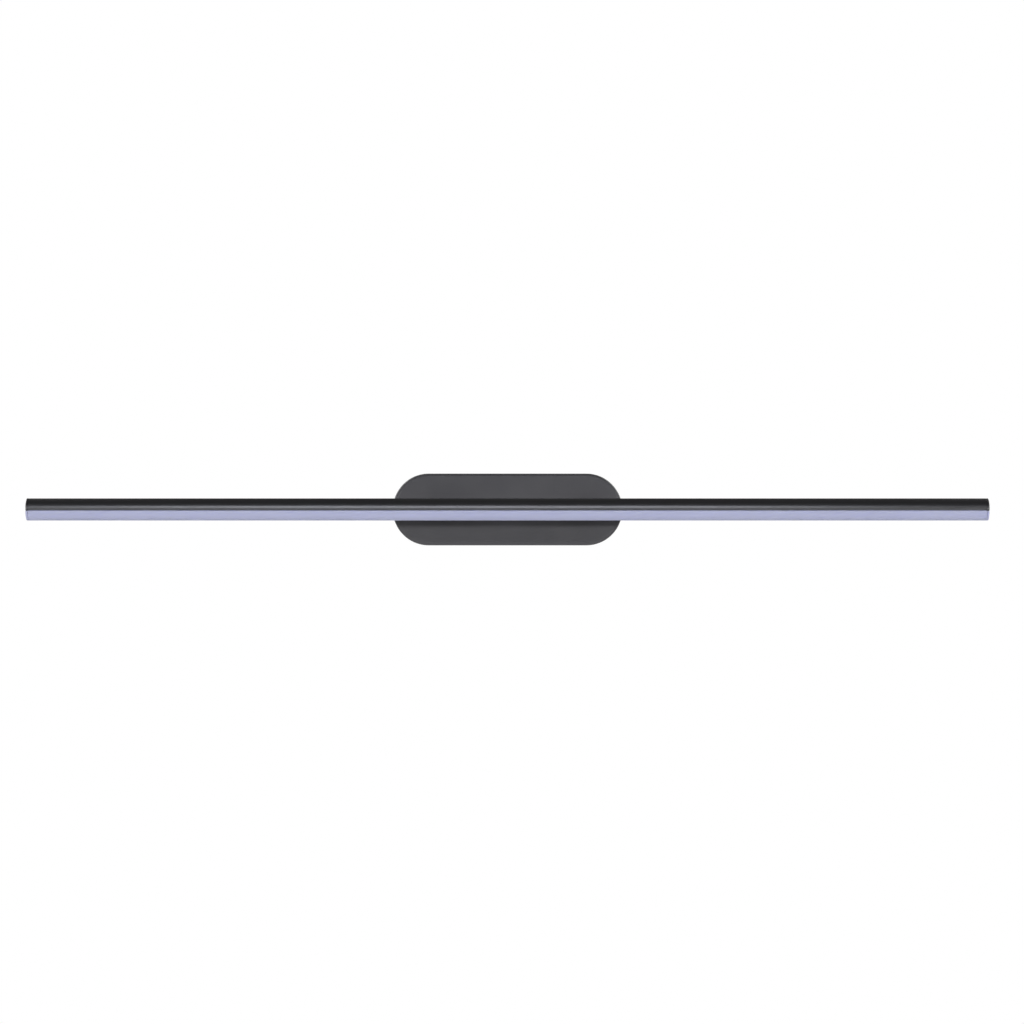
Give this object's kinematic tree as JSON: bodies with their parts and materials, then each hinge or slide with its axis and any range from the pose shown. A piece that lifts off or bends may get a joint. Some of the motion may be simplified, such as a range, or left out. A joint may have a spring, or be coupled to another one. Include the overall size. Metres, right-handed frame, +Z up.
{
  "type": "vanity light bar",
  "caption": "Slim round LED bar with a black top and an opal lens, tilting on two arms in front of an oblong wall canopy.",
  "frame": {"origin": "middle of the canopy's outline on the wall plane, on the back face of the wall bracket", "axes": "+X along the bar, +Y into the wall, +Z up; the room is towards -Y"},
  "size_m": [1, 0.0935, 0.076],
  "materials": {
    "canopy_black": "satin black powder coat on pressed steel",
    "bar_black": "satin black anodised aluminium",
    "opal_diffuser": "frosted opal plastic, faintly lavender when unlit",
    "zinc_steel": "zinc-plated steel",
    "capacitor_can": "plain aluminium can",
    "brass": "plain brass",
    "nylon_white": "white moulded nylon",
    "board_white": "white solder-mask circuit board",
    "board_green": "green solder-mask circuit board",
    "transformer_core": "dark ferrite core with a yellow tape winding",
    "rubber_black": "black rubber",
    "wire_brown": "brown wire insulation",
    "wire_blue": "blue wire insulation",
    "wire_green": "green and yellow wire insulation",
    "wire_grey": "grey wire insulation"
  },
  "bodies": {
    "base": {"arm_left": "canopy_black", "arm_nut_left": "zinc_steel", "arm_nut_right": "zinc_steel", "arm_right": "canopy_black", "arm_washer_left": "zinc_steel", "arm_washer_right": "zinc_steel", "cable_grommet": "rubber_black", "canopy": "canopy_black", "canopy_screw_left": "canopy_black", "canopy_screw_right": "canopy_black", "driver_board": "board_green", "driver_capacitor": "capacitor_can", "driver_case": "nylon_white", "driver_cover": "nylon_white", "driver_screw_left": "zinc_steel", "driver_screw_right": "zinc_steel", "driver_transformer": "transformer_core", "earth_lead": "wire_green", "earth_screw": "brass", "knuckle_cap_left": "canopy_black", "knuckle_cap_right": "canopy_black", "live_lead": "wire_brown", "neutral_lead": "wire_blue", "supply_lead": "wire_grey", "terminal_block": "nylon_white", "terminal_block_screw": "zinc_steel", "terminal_screw_earth": "brass", "terminal_screw_live": "brass", "terminal_screw_neutral": "brass", "wall_bracket": "zinc_steel"},
    "light_bar": {"bar_housing": "bar_black", "bar_lead": "wire_grey", "end_cap_left": "bar_black", "end_cap_right": "bar_black", "end_cap_screw_left_1": "bar_black", "end_cap_screw_left_2": "bar_black", "end_cap_screw_right_1": "bar_black", "end_cap_screw_right_2": "bar_black", "friction_washer_left": "nylon_white", "friction_washer_right": "nylon_white", "led_board": "board_white", "lens_cap_left": "opal_diffuser", "lens_cap_right": "opal_diffuser", "lens_diffuser": "opal_diffuser", "nut_plate_left": "zinc_steel", "nut_plate_right": "zinc_steel", "pivot_nut_left": "brass", "pivot_nut_right": "brass", "saddle_left": "bar_black", "saddle_right": "bar_black", "saddle_screw_left_1": "zinc_steel", "saddle_screw_left_2": "zinc_steel", "saddle_screw_right_1": "zinc_steel", "saddle_screw_right_2": "zinc_steel", "spring_washer_left": "zinc_steel", "spring_washer_right": "zinc_steel"}
  },
  "joints": [
    {"name": "bar_tilt", "type": "hinge", "parent": "base", "child": "light_bar", "pos_m": [0, -0.06, 0], "axis": [1, 0, 0], "range_deg": [-90, 90]}
  ]
}
